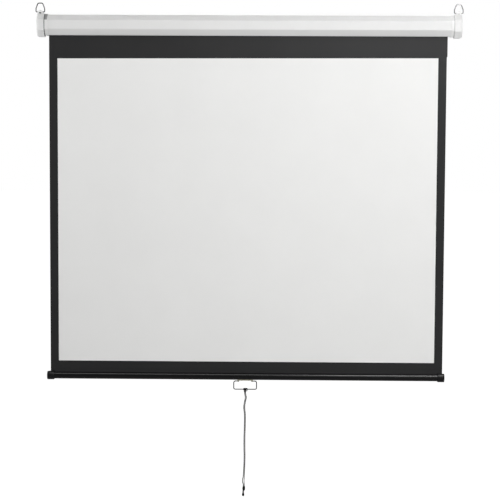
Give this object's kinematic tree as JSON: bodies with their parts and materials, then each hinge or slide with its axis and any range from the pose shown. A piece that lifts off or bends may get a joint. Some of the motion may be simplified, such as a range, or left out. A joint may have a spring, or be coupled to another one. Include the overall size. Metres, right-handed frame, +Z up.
{
  "type": "pull down projector screen",
  "caption": "Manual pull-down projection screen: octagonal case with a spring roller and hanging rings, white sheet with black borders, weight bar, wire handle and knotted pull cord",
  "frame": {"origin": "midway between the two hanging rings, on the line where the hooks bear under their tops", "axes": "+X runs along the case to the viewer's right, -Y faces the viewer, +Y faces the wall, +Z is up"},
  "size_m": [1.685, 0.086, 1.9678],
  "materials": {
    "case_paint": "satin",
    "cap_plastic": "satin",
    "steel": "satin",
    "wire": "bright",
    "spring_steel": "oiled",
    "zinc_steel": "yellow zinc",
    "bush_metal": "plain",
    "grey_plastic": "matte",
    "white_fabric": "matte vinyl",
    "black_fabric": "matte vinyl",
    "bar_paint": "gloss",
    "black_plastic": "satin",
    "cord": "braided"
  },
  "bodies": {
    "case": {"housing": "case_paint", "left_end_cap": "cap_plastic", "right_end_cap": "cap_plastic", "cap_screw_left_upper": "steel", "cap_screw_left_lower": "steel", "cap_screw_right_upper": "steel", "cap_screw_right_lower": "steel", "bearing_bush": "bush_metal", "spring_shaft": "steel", "spring_anchor": "grey_plastic", "ratchet_wheel": "steel", "black_leader": "black_fabric", "screen_sheet": "white_fabric", "border_left": "black_fabric", "border_right": "black_fabric"},
    "roller": {"roller_tube": "steel", "roller_ratchet_plug": "grey_plastic", "roller_idler_plug": "grey_plastic", "gudgeon_pin": "steel", "spring_drive_plug": "grey_plastic", "lift_spring": "spring_steel", "fabric_wraps": "black_fabric", "pawl_pin_upper": "steel", "pawl_pin_lower": "steel"},
    "pawl_a": {"pawl_upper": "steel"},
    "pawl_b": {"pawl_lower": "steel"},
    "ring_left": {"left_hanger_ring": "wire"},
    "ring_right": {"right_hanger_ring": "wire"},
    "bar": {"bottom_bar": "bar_paint", "fabric_spline": "cap_plastic", "bar_cap_left": "black_plastic", "bar_cap_right": "black_plastic", "handle_bracket": "zinc_steel", "bracket_screw_left": "steel", "bracket_screw_right": "steel", "border_bottom": "black_fabric"},
    "handle": {"pull_handle": "wire"},
    "cord": {"cord_hitch": "cord", "cord_strand_left": "cord", "cord_strand_right": "cord", "cord_lower_knot": "cord", "cord_end_knot": "cord"}
  },
  "joints": [
    {"name": "screen_slide", "type": "slide", "parent": "case", "child": "bar", "axis": [0, 0, 1], "range_m": [0, 1.33106], "deforming": ["black_leader", "screen_sheet", "border_left", "border_right"]},
    {"name": "roller_spin", "type": "hinge", "parent": "case", "child": "roller", "pos_m": [0, 0.0085, -0.0835], "axis": [-1, 0, 0], "range_deg": [0, 3794.25]},
    {"name": "pawl_upper_swing", "type": "hinge", "parent": "roller", "child": "pawl_a", "pos_m": [-0.8155, -0.0025, -0.0705], "axis": [1, 0, 0], "range_deg": [-12, 12]},
    {"name": "pawl_lower_swing", "type": "hinge", "parent": "roller", "child": "pawl_b", "pos_m": [-0.8155, 0.0195, -0.0965], "axis": [1, 0, 0], "range_deg": [-12, 12]},
    {"name": "left_ring_swing", "type": "hinge", "parent": "case", "child": "ring_left", "pos_m": [-0.8235, 0, -0.0325], "axis": [1, 0, 0], "range_deg": [-95, 95]},
    {"name": "right_ring_swing", "type": "hinge", "parent": "case", "child": "ring_right", "pos_m": [0.8235, 0, -0.0325], "axis": [1, 0, 0], "range_deg": [-95, 95]},
    {"name": "handle_swing", "type": "hinge", "parent": "bar", "child": "handle", "pos_m": [-0.0085, -0.0121, -1.4948], "axis": [1, 0, 0], "range_deg": [-95, 95]},
    {"name": "cord_hang", "type": "hinge", "parent": "handle", "child": "cord", "pos_m": [-0.0085, -0.0121, -1.5278], "axis": [1, 0, 0], "range_deg": [-95, 95]}
  ],
  "couplings": [
    {"joint": "roller_spin", "follows": "screen_slide", "rad_per_m": 49.751},
    {"joint": "cord_hang", "follows": "handle_swing", "ratio": -1}
  ]
}
